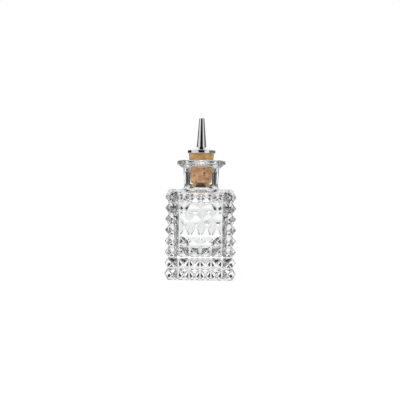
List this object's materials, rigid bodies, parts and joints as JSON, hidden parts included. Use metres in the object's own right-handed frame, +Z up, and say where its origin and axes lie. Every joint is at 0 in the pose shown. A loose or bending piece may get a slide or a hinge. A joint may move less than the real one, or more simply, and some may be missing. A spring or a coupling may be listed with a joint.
{
  "type": "bitters bottle",
  "caption": "Square pressed-glass dash bottle with diamond-point studs, a bare scalloped label panel, a flared lip and a lift-out tapered cork carrying a metal dasher nozzle.",
  "frame": {"origin": "centre of the base, on the surface that the bottle stands on", "axes": "+Z up along the bottle's axis, -Y out of the face with the label panel, +X to the viewer's right when facing that panel"},
  "size_m": [0.0556, 0.0557, 0.128],
  "materials": {
    "clear_glass": "fire-polished clear pressed glass",
    "natural_cork": "natural cork, fine grain with dark pores",
    "bright_metal": "polished bright plating",
    "insert_plastic": "plain moulded plastic"
  },
  "bodies": {
    "bottle": {"glass_bottle": "clear_glass"},
    "stopper": {"cork_stopper": "natural_cork", "flange_cap": "bright_metal", "spout_nozzle": "bright_metal", "shank_tube": "bright_metal", "dash_insert": "insert_plastic"}
  },
  "joints": [
    {"name": "stopper_lift", "type": "slide", "parent": "bottle", "child": "stopper", "axis": [0, 0, 1], "range_m": [0, 0.03]}
  ]
}
